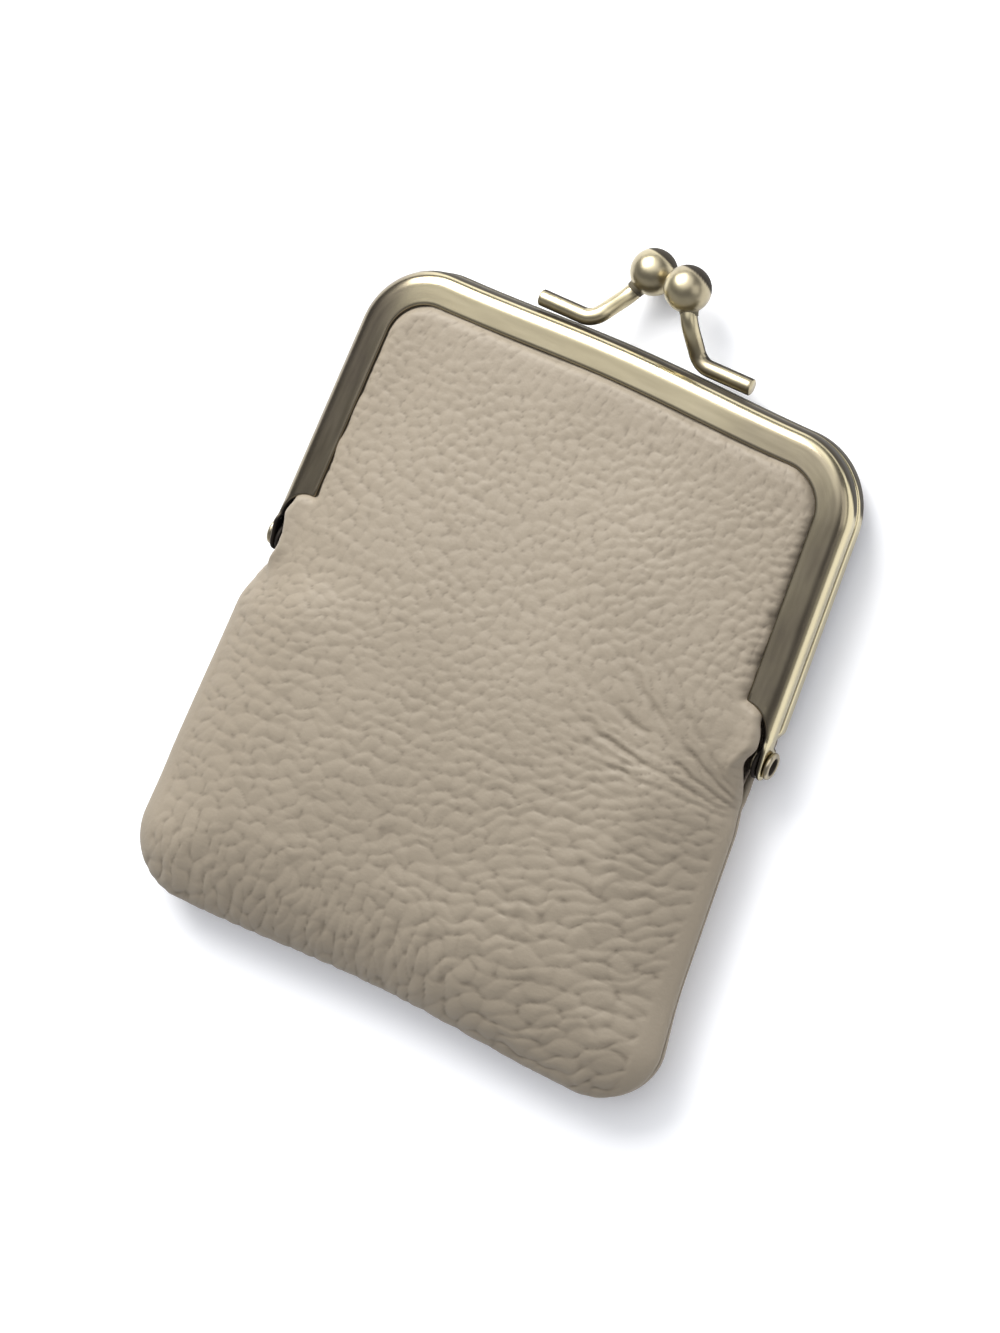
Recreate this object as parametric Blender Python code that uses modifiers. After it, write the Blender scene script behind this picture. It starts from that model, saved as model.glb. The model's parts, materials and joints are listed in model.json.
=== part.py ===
"""Kiss lock coin purse, closed and lying on its back.

A hinged pair of brass channel frames holds the mouth of a leather pouch, and two balls on
bent wires snap past each other to close it. The part is in metres, with +X along the hinge,
+Y from the pouch towards the clasp and +Z out of the front. Its origin is under the middle
of its box, on the surface that it lies on.
"""

import math

import bmesh
import bpy
import numpy as np
from mathutils import Matrix, Vector

COLLECTION = "kiss_lock_coin_purse"

# Closed frame, seen from the front
FRAME_WIDTH = 0.0850
FRAME_HEIGHT = 0.0463
TOP_RISE = 0.0007
FLARE = math.radians(2.4)
OUTER_CORNER_RADIUS = 0.0115
RAIL_END = 0.0034

# Section of one half's channel
RAIL_WIDTH = 0.0052
CHANNEL_DEPTH = 0.0042
STRIP = 0.0007
SHOULDER_RADIUS = 0.0019
EDGE_RADIUS = 0.0004
HALVES_GAP = 0.0003
END_CUT_RADIUS = 0.0045

# Hinge ears and tubular rivets
EAR_RADIUS = 0.0026
EAR_OVERLAP = 0.0011
BACK_EAR_OVERLAP = 0.0042
EAR_GAP = 0.0002
RIVET_RADIUS = 0.0011
RIVET_BORE_RADIUS = 0.0006
RIVET_CLEARANCE = 0.0001
COLLAR_RADIUS = 0.0021
COLLAR_HEIGHT = 0.0009
HEAD_RADIUS = 0.0017
HEAD_HEIGHT = 0.0006

# Clasp, whose middle stands a little to the right of the frame's
CLASP_SHIFT = 0.0010
BALL_RADIUS = 0.0035
BALL_STANDOFF = 0.0110
BALL_GAP = 0.0002
BALL_CROSSING = 0.0019
WIRE_RADIUS = 0.0012
STEM_START = 0.0172
STEM_BEND = 0.0083
STEM_BEND_RADIUS = 0.0030
SOLDER_GAP = 0.0002

# Pouch, which swells past the frame's sides from its top to its bottom
LEATHER = 0.0009
LINING = 0.0003
LAYER_GAP = 0.0002
LEATHER_INSET = 0.0022
LIP_CLEARANCE = 0.0004
POUCH_DROP = 0.0575
POUCH_SWELL_TOP = 0.0009
POUCH_SWELL_BOTTOM = 0.0032
POUCH_CORNER_RADIUS = 0.0105
BOTTOM_HOLLOW = 0.0009
SIDE_SLIT = 0.0090
EAR_CLEARANCE = 0.0027
SEAM_HALF_GAP = 0.0004
FRONT_CROWN_TOP = 0.0056
FRONT_CROWN = 0.0086
BACK_CROWN_TOP = 0.0060
BACK_CROWN = 0.0078
BACK_FLAT = 0.0064
PANEL_RADIUS = 0.0410
PANEL_CENTRE_DROP = 0.0065
FOLD_TOP = 0.0070
FOLD_BOTTOM = -0.0080
FOLD_GAP = 0.0003

# Cord packed in each channel, and the thread of the turned seam
CORD_RADIUS = 0.0004
CORD_INSET = 0.0030
CORD_END = 0.0100
THREAD_RADIUS = 0.0003
THREAD_TOP = -0.0110

# Rings of a panel, from its edge inwards: the first are true insets, the rest are shares
EDGE_INSETS = (0.0, 0.0005, 0.0016, 0.0034)
RING_SHARES = (0.80, 0.52, 0.20)
LINING_RIM_SHARE = 0.6
BULGE_LENGTH = 0.0260
ROLL_POWER = 5
CUT_OVERRUN = 0.0010

TOP_STEPS = 6
CORNER_STEPS = 5
SIDE_STEPS = 4
ROUND_STEPS = 24

BRASS = (0.46, 0.40, 0.27, 1.0)
DARK_BRASS = (0.33, 0.28, 0.18, 1.0)
LEATHER_COLOUR = (0.47, 0.40, 0.32, 1.0)
LINING_COLOUR = (0.33, 0.28, 0.23, 1.0)
CORD_COLOUR = (0.62, 0.52, 0.38, 1.0)
THREAD_COLOUR = (0.42, 0.36, 0.29, 1.0)

BALL_X = BALL_RADIUS + BALL_GAP / 2
BALL_REACH = FRAME_HEIGHT + TOP_RISE + BALL_STANDOFF
CLASP_TOP = BALL_REACH + BALL_RADIUS
HINGE_Y = (POUCH_DROP - CLASP_TOP) / 2
HINGE_Z = BACK_FLAT
SLOT_FRONT = HALVES_GAP / 2 + CHANNEL_DEPTH - STRIP
LEATHER_LEVEL = SLOT_FRONT - LAYER_GAP
FRONT_EAR_FACE = FRAME_WIDTH / 2 - math.tan(FLARE) * RAIL_END
BACK_EAR_FACE = FRONT_EAR_FACE - STRIP - EAR_GAP


def clear_scene():
    for old in list(bpy.data.objects):
        bpy.data.objects.remove(old, do_unlink=True)


def new_collection(name):
    collection = bpy.data.collections.new(name)
    bpy.context.scene.collection.children.link(collection)
    return collection


def new_material(name, colour, roughness, metallic):
    material = bpy.data.materials.new(name)
    material.use_nodes = True
    shader = material.node_tree.nodes["Principled BSDF"]
    shader.inputs["Base Color"].default_value = colour
    shader.inputs["Roughness"].default_value = roughness
    shader.inputs["Metallic"].default_value = metallic
    material.diffuse_color = colour
    return material


def new_empty(name, location, parent=None):
    empty = bpy.data.objects.new(name, None)
    empty.empty_display_size = EAR_RADIUS
    parts.objects.link(empty)
    empty.parent = parent
    empty.location = location
    return empty


def add_object(name, mesh, material, parent):
    obj = bpy.data.objects.new(name, mesh)
    parts.objects.link(obj)
    obj.parent = parent
    mesh.materials.clear()
    mesh.materials.append(material)
    mesh.shade_smooth()
    mesh.set_sharp_from_angle(angle=math.radians(40))
    return obj


def mesh_of_curve(curve_object):
    """The curve as a welded mesh, with the curve object removed."""
    bpy.context.view_layer.update()
    graph = bpy.context.evaluated_depsgraph_get()
    mesh = bpy.data.meshes.new_from_object(curve_object.evaluated_get(graph))
    mesh.transform(curve_object.matrix_world)
    build = bmesh.new()
    build.from_mesh(mesh)
    bmesh.ops.remove_doubles(build, verts=build.verts, dist=STRIP / 1000)
    bmesh.ops.recalc_face_normals(build, faces=build.faces)
    build.to_mesh(mesh)
    build.free()
    data = curve_object.data
    bpy.data.objects.remove(curve_object, do_unlink=True)
    bpy.data.curves.remove(data)
    return mesh


def poly_curve(name, points, cyclic=False, flat=False):
    """A curve object through the points, in the helpers' collection."""
    data = bpy.data.curves.new(name, "CURVE")
    data.dimensions = "2D" if flat else "3D"
    spline = data.splines.new("POLY")
    spline.points.add(len(points) - 1)
    for control, point in zip(spline.points, points):
        control.co = (*point, 1.0) if len(point) == 3 else (*point, 0.0, 1.0)
    spline.use_cyclic_u = cyclic
    obj = bpy.data.objects.new(name, data)
    helpers.objects.link(obj)
    return obj


def hide_helper(obj):
    obj.hide_render = True
    obj.display_type = "WIRE"
    return obj


def tube_mesh(name, points, radius, resolution=2):
    curve = poly_curve(name, points)
    curve.data.bevel_depth = radius
    curve.data.bevel_resolution = resolution
    curve.data.use_fill_caps = True
    return mesh_of_curve(curve)


def plate_mesh(name, outline, thickness):
    """A flat plate in XY, with its middle on Z = 0."""
    curve = poly_curve(name, outline, cyclic=True, flat=True)
    curve.data.fill_mode = "BOTH"
    curve.data.extrude = thickness / 2
    return mesh_of_curve(curve)


def apply_boolean(target, cutter_mesh, operation):
    """Joins or cuts the target's mesh, and keeps the result as its mesh."""
    cutter = bpy.data.objects.new(target.name + "_tool", cutter_mesh)
    helpers.objects.link(hide_helper(cutter))
    cutter.parent = target.parent
    modifier = target.modifiers.new("tool", "BOOLEAN")
    modifier.operation = operation
    modifier.solver = "EXACT"
    modifier.object = cutter
    bpy.context.view_layer.update()
    graph = bpy.context.evaluated_depsgraph_get()
    result = bpy.data.meshes.new_from_object(target.evaluated_get(graph))
    target.modifiers.remove(modifier)
    bpy.data.objects.remove(cutter, do_unlink=True)
    old = target.data
    target.data = result
    bpy.data.meshes.remove(old)


def smooth_step(share):
    share = np.clip(share, 0.0, 1.0)
    return share * share * (3 - 2 * share)


def arc_points(centre, radius, start, end, steps):
    return [
        (centre[0] + radius * math.cos(angle), centre[1] + radius * math.sin(angle))
        for angle in np.linspace(start, end, steps + 1)
    ]


def corner_centre():
    """Centre of the top right corner's arc, and the arc's first and last angles."""
    side_x = FRAME_WIDTH / 2 - math.tan(FLARE) * FRAME_HEIGHT
    reach = OUTER_CORNER_RADIUS * math.tan((math.pi / 2 - FLARE) / 2)
    return (side_x - reach, FRAME_HEIGHT - OUTER_CORNER_RADIUS), FLARE, math.pi / 2


def side_x(y, inset):
    """X of the right side rail's outer face at Y, moved inwards by the inset."""
    return FRAME_WIDTH / 2 - math.tan(FLARE) * y - inset / math.cos(FLARE)


def top_y(x, inset):
    """Y of the arched top rail's outer face at X, moved inwards by the inset."""
    half = corner_centre()[0][0]
    return FRAME_HEIGHT + TOP_RISE * (1 + math.cos(math.pi * x / half)) / 2 - inset


def frame_line(inset, end):
    """The frame's outline moved inwards by the inset, from its right end round to its left."""
    centre, first, last = corner_centre()
    radius = OUTER_CORNER_RADIUS - inset
    corner = arc_points(centre, radius, first, last, CORNER_STEPS)
    side = [(side_x(y, inset), y) for y in np.linspace(end, corner[0][1], SIDE_STEPS + 1)]
    top = [(x, top_y(x, inset)) for x in np.linspace(centre[0], -centre[0], TOP_STEPS + 1)]
    right = side[:-1] + corner[:-1]
    return right + top + [(-x, y) for x, y in reversed(right)]


def channel_section():
    """The channel's closed section: first axis outwards from the rail's middle, second along Z."""
    outer = RAIL_WIDTH / 2
    low = HALVES_GAP / 2
    high = low + CHANNEL_DEPTH
    inner_radius = SHOULDER_RADIUS - STRIP
    shoulder = (outer - SHOULDER_RADIUS, high - SHOULDER_RADIUS)
    quarter = math.pi / 2
    edge = arc_points((outer - EDGE_RADIUS, low + EDGE_RADIUS), EDGE_RADIUS, -quarter, 0, 2)
    section = [(-outer, low)] + edge
    section += arc_points(shoulder, SHOULDER_RADIUS, 0, quarter, 4)
    section += [(-outer, high), (-outer, high - STRIP)]
    section += arc_points(shoulder, inner_radius, quarter, 0, 3)
    section += [(outer - STRIP, low + STRIP), (-outer, low + STRIP)]
    return section


def rail_mesh(name):
    """The front half's channel, swept along the middle of its rail."""
    path = poly_curve(name + "_path", frame_line(RAIL_WIDTH / 2, RAIL_END), flat=True)
    section = poly_curve(name + "_section", channel_section(), cyclic=True, flat=True)
    hide_helper(section)
    path.data.bevel_mode = "OBJECT"
    path.data.bevel_object = section
    path.data.use_fill_caps = True
    mesh = mesh_of_curve(path)
    bpy.data.objects.remove(section, do_unlink=True)
    return mesh


def ear_mesh(name, outer_face, overlap):
    """A hinge ear in the plane of the hinge: round at the axis, widening up to the rail's end."""
    low = HALVES_GAP / 2
    high = low + CHANNEL_DEPTH - EDGE_RADIUS
    top = RAIL_END + overlap
    lower_reach = math.hypot(RAIL_END, low)
    lower = math.atan2(low, RAIL_END) - math.acos(EAR_RADIUS / lower_reach)
    upper_reach = math.hypot(RAIL_END, high)
    upper = math.atan2(high, RAIL_END) + math.acos(EAR_RADIUS / upper_reach)
    outline = arc_points((0.0, 0.0), EAR_RADIUS, upper, lower + 2 * math.pi, ROUND_STEPS // 2)
    outline += [(RAIL_END, low), (top, low), (top, high), (RAIL_END, high)]
    mesh = plate_mesh(name, outline, STRIP)
    stand = Matrix(((0, 0, 1, outer_face - STRIP / 2), (1, 0, 0, 0), (0, 1, 0, 0), (0, 0, 0, 1)))
    mesh.transform(stand)
    return mesh


def cylinder_mesh(name, radius, depth, matrix):
    build = bmesh.new()
    bmesh.ops.create_cone(
        build,
        cap_ends=True,
        segments=ROUND_STEPS,
        radius1=radius,
        radius2=radius,
        depth=depth,
        matrix=matrix,
    )
    mesh = bpy.data.meshes.new(name)
    build.to_mesh(mesh)
    build.free()
    return mesh


def mirrored(mesh, axis):
    """A copy of the mesh mirrored across the plane through the origin, facing out again."""
    copy = mesh.copy()
    copy.transform(Matrix.Scale(-1, 4, axis))
    copy.flip_normals()
    return copy


def add_frame(name, ear_face, ear_overlap, backwards, parent):
    """One half: the channel, its two ears, its hollowed rail ends and its rivet holes."""
    across = Vector((1, 0, 0))
    through = Vector((0, 0, 1))
    frame = add_object(name, rail_mesh(name), brass, parent)
    inner_x = side_x(RAIL_END, RAIL_WIDTH)
    for side in (1, -1):
        place = Matrix.Translation((side * inner_x, RAIL_END, CHANNEL_DEPTH / 2))
        depth = CHANNEL_DEPTH + 2 * CUT_OVERRUN
        apply_boolean(frame, cylinder_mesh("end_cut", END_CUT_RADIUS, depth, place), "DIFFERENCE")
    ear = ear_mesh(name + "_ear", ear_face, ear_overlap)
    apply_boolean(frame, mirrored(ear, across), "UNION")
    apply_boolean(frame, ear, "UNION")
    along_x = Matrix.Rotation(math.pi / 2, 4, "Y")
    hole_radius = RIVET_RADIUS + RIVET_CLEARANCE
    depth = FRAME_WIDTH + 2 * CUT_OVERRUN
    apply_boolean(frame, cylinder_mesh("rivet_hole", hole_radius, depth, along_x), "DIFFERENCE")
    if backwards:
        frame.data = mirrored(frame.data, through)
    return frame


def add_rivet(name, side, parent):
    """A hollow rivet, turned about the hinge axis: a head inside and a rolled collar outside."""
    inner_face = BACK_EAR_FACE - STRIP - EAR_GAP
    outer_face = FRONT_EAR_FACE + EAR_GAP
    collar_middle = outer_face + COLLAR_HEIGHT / 2
    roll = COLLAR_HEIGHT / 2
    profile = [(RIVET_BORE_RADIUS, outer_face + COLLAR_HEIGHT * 2 / 3)]
    rolled = arc_points((collar_middle, COLLAR_RADIUS - roll), roll, 0, math.pi / 2, 3)
    profile += [(radius, x) for x, radius in rolled]
    rolled = arc_points((collar_middle, COLLAR_RADIUS - roll), roll, math.pi / 2, math.pi, 3)
    profile += [(radius, x) for x, radius in rolled[1:]]
    profile += [(RIVET_RADIUS, outer_face), (RIVET_RADIUS, inner_face)]
    profile += [(HEAD_RADIUS, inner_face), (HEAD_RADIUS, inner_face - HEAD_HEIGHT / 2)]
    profile += [(RIVET_RADIUS, inner_face - HEAD_HEIGHT)]
    profile += [(RIVET_BORE_RADIUS, inner_face - HEAD_HEIGHT)]
    mesh = bpy.data.meshes.new(name)
    points = [(radius, 0.0, height) for radius, height in profile]
    count = len(points)
    mesh.from_pydata(points, [(i, (i + 1) % count) for i in range(count)], [])
    rivet = add_object(name, mesh, dark_brass, parent)
    screw = rivet.modifiers.new("turn", "SCREW")
    screw.steps = ROUND_STEPS
    screw.render_steps = ROUND_STEPS
    screw.use_merge_vertices = True
    screw.merge_threshold = STRIP / 1000
    screw.use_smooth_shade = True
    rivet.rotation_euler = (0.0, side * math.pi / 2, 0.0)
    return rivet


def stem_points():
    """The wire's middle line on the right: along the rail, round a bend, then up to its ball."""
    base = FRAME_HEIGHT + TOP_RISE + SOLDER_GAP + WIRE_RADIUS
    corner = Vector((STEM_BEND, base))
    ball = Vector((BALL_X, BALL_REACH))
    rise = (ball - corner).normalized()
    turn = math.acos(-rise.x)
    reach = STEM_BEND_RADIUS * math.tan(turn / 2)
    centre = corner + Vector((reach, STEM_BEND_RADIUS))
    bend = arc_points(centre, STEM_BEND_RADIUS, -math.pi / 2, -math.pi / 2 - turn, 5)
    end = ball - rise * (BALL_RADIUS + SOLDER_GAP)
    line = [(x, base) for x in np.linspace(STEM_START, bend[0][0], 4)] + bend[1:]
    last = Vector(line[-1])
    line += [tuple(last.lerp(end, share)) for share in np.linspace(0, 1, 5)[1:]]
    start_z = HALVES_GAP / 2 + (CHANNEL_DEPTH - SHOULDER_RADIUS) / 2
    points = []
    for x, y in line:
        crossed = smooth_step((y - base) / (end.y - base))
        points.append((x, y, -start_z + (start_z + BALL_CROSSING) * crossed))
    return points


def add_stem(name, sign, parent):
    points = [(CLASP_SHIFT + sign * x, y, sign * z) for x, y, z in stem_points()]
    return add_object(name, tube_mesh(name, points, WIRE_RADIUS), brass, parent)


def add_ball(name, sign, parent):
    build = bmesh.new()
    upright = Matrix.Rotation(math.pi / 2, 4, "X")
    bmesh.ops.create_uvsphere(
        build, u_segments=ROUND_STEPS - 4, v_segments=ROUND_STEPS // 2, radius=BALL_RADIUS, matrix=upright
    )
    mesh = bpy.data.meshes.new(name)
    build.to_mesh(mesh)
    build.free()
    ball = add_object(name, mesh, brass, parent)
    ball.location = (CLASP_SHIFT + sign * BALL_X, BALL_REACH, sign * BALL_CROSSING)
    return ball


def pouch_half_width(y):
    """Half the pouch's width below the hinge, widening from inside the ears to its bottom."""
    neck = side_x(0.0, LEATHER_INSET)
    share = (-SIDE_SLIT - y) / (POUCH_DROP - SIDE_SLIT)
    swell = POUCH_SWELL_TOP + (POUCH_SWELL_BOTTOM - POUCH_SWELL_TOP) * share
    wide = FRAME_WIDTH / 2 + swell
    return neck + (wide - neck) * smooth_step((-EAR_CLEARANCE - y) / SIDE_SLIT)


def panel_outline():
    """The closed outline of a panel's edge, anticlockwise from the right rail's end."""
    frame = frame_line(LEATHER_INSET, 0.0)
    bottom_x = pouch_half_width(-POUCH_DROP) - POUCH_CORNER_RADIUS
    centre = (bottom_x, POUCH_CORNER_RADIUS - POUCH_DROP)
    corner = arc_points(centre, POUCH_CORNER_RADIUS, -math.pi / 2, 0, CORNER_STEPS)
    low = corner[-1][1]
    lower = [(pouch_half_width(y), y) for y in np.linspace(0.0, low, 2 * SIDE_STEPS + 1)]
    left = [(-x, y) for x, y in lower[1:-1]]
    left += [(-x, y) for x, y in reversed(corner)]
    bottom = []
    for x in np.linspace(-bottom_x, bottom_x, TOP_STEPS + 1)[1:-1]:
        hollow = BOTTOM_HOLLOW * (1 + math.cos(math.pi * x / bottom_x)) / 2
        bottom.append((x, hollow - POUCH_DROP))
    right = corner + list(reversed(lower[1:-1]))
    return np.array(frame + left + bottom + right)


def outline_normals(outline):
    """The outward normal at each point of a closed anticlockwise outline."""
    along = np.roll(outline, -1, axis=0) - np.roll(outline, 1, axis=0)
    normals = np.stack([along[:, 1], -along[:, 0]], axis=1)
    return normals / np.linalg.norm(normals, axis=1)[:, None]


def crown_height(y, crown_top, crown):
    share = (FRAME_HEIGHT - OUTER_CORNER_RADIUS - y) / (FRAME_HEIGHT - OUTER_CORNER_RADIUS + SIDE_SLIT)
    return crown_top + (crown - crown_top) * smooth_step(share)


def panel_height(y, inset, crown_top, crown):
    """Height of a panel's outer face: flat in the channel above, rolled over to the seam below."""
    lip = RAIL_WIDTH - LEATHER_INSET + LIP_CLEARANCE
    top = crown_height(y, crown_top, crown)
    bulge = 1 - (1 - np.clip((inset - lip) / BULGE_LENGTH, 0, 1)) ** 2
    upper = LEATHER_LEVEL + (top - LEATHER_LEVEL) * bulge
    inward = np.clip(1 - inset / PANEL_RADIUS, 0, 1)
    lower = SEAM_HALF_GAP + (top - SEAM_HALF_GAP) * np.sqrt(1 - inward**ROLL_POWER)
    share = smooth_step((-EAR_CLEARANCE - y) / (SIDE_SLIT - EAR_CLEARANCE))
    return upper + (lower - upper) * share


def panel_surface(front, rim_share):
    """The outer face of a panel as an open mesh of rings closed by a fan, facing +Z.

    Its edge lies the given share of the way from the panel's edge to the next ring.
    """
    crown_top = FRONT_CROWN_TOP if front else BACK_CROWN_TOP
    crown = FRONT_CROWN if front else BACK_CROWN
    highest = crown if front else BACK_FLAT
    outline = panel_outline()
    normals = outline_normals(outline)
    centre = np.array((0.0, -PANEL_CENTRE_DROP))
    inner = outline - normals * EDGE_INSETS[-1]
    rings = [(outline - normals * inset, inset) for inset in EDGE_INSETS]
    for share in RING_SHARES:
        inset = EDGE_INSETS[-1] + (1 - share) * (PANEL_RADIUS - EDGE_INSETS[-1])
        rings.append((centre + (inner - centre) * share, inset))
    rings.append((centre[None, :], PANEL_RADIUS))
    surface = []
    for flat_points, inset in rings:
        heights = panel_height(flat_points[:, 1], inset, crown_top, crown)
        surface.append(np.column_stack([flat_points, np.minimum(heights, highest)]))
    surface[0] = surface[0] + (surface[1] - surface[0]) * rim_share
    build = bmesh.new()
    loops = [[build.verts.new(point) for point in ring] for ring in surface]
    for outer, within in zip(loops[:-2], loops[1:-1]):
        for i in range(len(outer)):
            j = (i + 1) % len(outer)
            build.faces.new((outer[i], outer[j], within[j], within[i]))
    last = loops[-2]
    for i in range(len(last)):
        build.faces.new((last[i], last[(i + 1) % len(last)], loops[-1][0]))
    return build


def sink_surface(build, depth):
    """Moves the surface inwards along its normals."""
    build.normal_update()
    normals = [vert.normal.copy() for vert in build.verts]
    for vert, normal in zip(build.verts, normals):
        vert.co -= normal * depth


def keep_between(build, low, high):
    """Cuts away what lies below or above the two heights along Y."""
    for height, direction in ((low, -1), (high, 1)):
        if height is None:
            continue
        geometry = build.verts[:] + build.edges[:] + build.faces[:]
        bmesh.ops.bisect_plane(
            build,
            geom=geometry,
            dist=STRIP / 1000,
            plane_co=(0, height, 0),
            plane_no=(0, direction, 0),
            clear_outer=True,
        )


def add_panel(name, build, thickness, material, front, parent):
    """A panel from its outer face: thickened inwards, and mirrored for the back."""
    mesh = bpy.data.meshes.new(name)
    build.to_mesh(mesh)
    build.free()
    if not front:
        mesh = mirrored(mesh, Vector((0, 0, 1)))
    panel = add_object(name, mesh, material, parent)
    wall = panel.modifiers.new("thickness", "SOLIDIFY")
    wall.thickness = thickness
    wall.offset = -1
    return panel


def leather_surface(front):
    return panel_surface(front, 0.0)


def lining_surface(front):
    """The lining's outer face, one leather and one gap inside the leather's."""
    build = panel_surface(front, LINING_RIM_SHARE)
    sink_surface(build, LEATHER + LAYER_GAP)
    return build


def add_front_panels():
    """The front leather and lining, each cut at the fold where the mouth opens."""
    pieces = (
        ("front_leather_upper", "front_lining_upper", FOLD_TOP + FOLD_GAP / 2, None, front_hinge),
        (
            "front_leather_fold",
            "front_lining_fold",
            FOLD_BOTTOM + FOLD_GAP / 2,
            FOLD_TOP - FOLD_GAP / 2,
            purse,
        ),
        ("front_leather_pouch", "front_lining_pouch", None, FOLD_BOTTOM - FOLD_GAP / 2, purse),
    )
    for leather_name, lining_name, low, high, parent in pieces:
        outer = leather_surface(True)
        keep_between(outer, low, high)
        add_panel(leather_name, outer, LEATHER, leather, True, parent)
        inner = lining_surface(True)
        keep_between(inner, low, high)
        add_panel(lining_name, inner, LINING, lining, True, parent)


def add_packing_cord(name, sign, parent):
    level = HALVES_GAP / 2 + STRIP + LAYER_GAP + CORD_RADIUS
    points = [(x, y, sign * level) for x, y in frame_line(CORD_INSET, CORD_END)]
    return add_object(name, tube_mesh(name, points, CORD_RADIUS, 1), cord, parent)


def add_seam_thread():
    """The thread round the turned seam, just inside the leather's edges."""
    outline = panel_outline()
    inset = LEATHER + LAYER_GAP + THREAD_RADIUS
    line = outline - outline_normals(outline) * inset
    below = [(x, y, 0.0) for x, y in line if y < THREAD_TOP]
    first = next(i for i in range(len(below)) if below[i][0] < 0)
    points = below[first:] + below[:first]
    return add_object("seam_thread", tube_mesh("seam_thread", points, THREAD_RADIUS, 1), thread, purse)


clear_scene()
parts = new_collection(COLLECTION)
helpers = new_collection(COLLECTION + "_helpers")
helpers.hide_render = True

brass = new_material("antique_brass", BRASS, 0.32, 1.0)
dark_brass = new_material("rivet_brass", DARK_BRASS, 0.38, 1.0)
leather = new_material("pebbled_leather", LEATHER_COLOUR, 0.55, 0.0)
lining = new_material("lining_cloth", LINING_COLOUR, 0.85, 0.0)
cord = new_material("paper_cord", CORD_COLOUR, 0.9, 0.0)
thread = new_material("sewing_thread", THREAD_COLOUR, 0.7, 0.0)

purse = new_empty("purse", (0.0, HINGE_Y, HINGE_Z))
front_hinge = new_empty("front_hinge", (0.0, 0.0, 0.0), purse)

add_frame("back_frame", BACK_EAR_FACE, BACK_EAR_OVERLAP, True, purse)
add_frame("front_frame", FRONT_EAR_FACE, EAR_OVERLAP, False, front_hinge)
add_rivet("right_hinge_rivet", 1, purse)
add_rivet("left_hinge_rivet", -1, purse)
add_stem("front_clasp_stem", -1, front_hinge)
add_ball("front_clasp_ball", -1, front_hinge)
add_stem("back_clasp_stem", 1, purse)
add_ball("back_clasp_ball", 1, purse)
add_front_panels()
add_panel("back_leather", leather_surface(False), LEATHER, leather, False, purse)
add_panel("back_lining", lining_surface(False), LINING, lining, False, purse)
add_packing_cord("front_packing_cord", 1, front_hinge)
add_packing_cord("back_packing_cord", -1, purse)
add_seam_thread()
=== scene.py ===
import json
import math

import bmesh
import bpy
import numpy as np
from mathutils import Matrix, Vector


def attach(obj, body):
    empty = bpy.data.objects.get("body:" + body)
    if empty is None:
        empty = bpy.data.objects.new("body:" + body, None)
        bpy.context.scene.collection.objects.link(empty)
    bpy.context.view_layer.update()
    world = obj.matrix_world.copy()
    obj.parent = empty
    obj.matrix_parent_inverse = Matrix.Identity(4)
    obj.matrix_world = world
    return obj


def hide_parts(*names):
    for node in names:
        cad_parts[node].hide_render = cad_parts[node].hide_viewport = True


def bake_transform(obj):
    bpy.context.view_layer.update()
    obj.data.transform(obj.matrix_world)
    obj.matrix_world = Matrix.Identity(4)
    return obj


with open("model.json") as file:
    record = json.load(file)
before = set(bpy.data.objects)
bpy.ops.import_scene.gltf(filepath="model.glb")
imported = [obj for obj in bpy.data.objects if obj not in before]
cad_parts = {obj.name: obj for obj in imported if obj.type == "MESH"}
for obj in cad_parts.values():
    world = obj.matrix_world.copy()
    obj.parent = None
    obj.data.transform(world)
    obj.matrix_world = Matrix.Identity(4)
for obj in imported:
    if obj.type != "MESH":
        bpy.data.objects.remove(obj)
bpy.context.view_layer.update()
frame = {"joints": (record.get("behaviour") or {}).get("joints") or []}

# The two halves of the frame are strips of brass sheet, folded into a channel and bent round three sides of
# the mouth. Each end is hollowed out and drawn down into a hinge ear, and the back ears lie inside the front
# ones. Sizes here are millimetres about the middle of the hinge axis.
MM = 0.001
hinge = np.array(frame["joints"][0]["pos_m"])
HALF_WIDTH = 42.5
RAIL_HEIGHT = 46.3
TOP_RISE = 0.7
FLARE = math.radians(2.4)
CORNER = 11.5
RAIL_END = 3.4
RAIL_WIDTH = 5.2
CHANNEL_DEPTH = 4.2
SHEET = 0.7
FACE_WIDTH = 4.85
FACE_LEAN = math.radians(4.0)
SHOULDER = 2.25
FOLD = 0.75
HALVES_GAP = 0.3
END_CUT = 4.5
EAR = 2.6
EAR_GAP = 0.2
EDGE = SHEET / 2
SCOOP = END_CUT + EDGE


def smooth(share):
    """A step from 0 to 1 that starts and ends level: 3 t squared less 2 t cubed."""
    t = np.clip(share, 0.0, 1.0)
    return t * t * (3 - 2 * t)


def unit(vectors):
    """The same directions with length 1."""
    return vectors / np.maximum(np.linalg.norm(vectors, axis=-1, keepdims=True), 1e-9)


def travelled_along(path):
    """How far each point of a path is from its first one, along the path."""
    return np.concatenate([[0], np.cumsum(np.linalg.norm(np.diff(path, axis=0), axis=1))])


def both_sides(right):
    """A flat line that ends on the middle, and the same mirrored and carried on to the left."""
    return np.concatenate([right, right[-2::-1] * (-1, 1)])


def side_line(y, inset):
    """X of the right rail's outer face at height y, moved inwards: the rail leans in by FLARE."""
    return HALF_WIDTH - math.tan(FLARE) * y - inset / math.cos(FLARE)


def top_line(x, inset):
    """Y of the top rail's outer face at x, moved inwards: a straight line with a raised cosine on it."""
    wave = np.cos(np.pi * np.clip(x / corner_x, -1, 1))
    return RAIL_HEIGHT + TOP_RISE * (1 + wave) / 2 - inset


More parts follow.
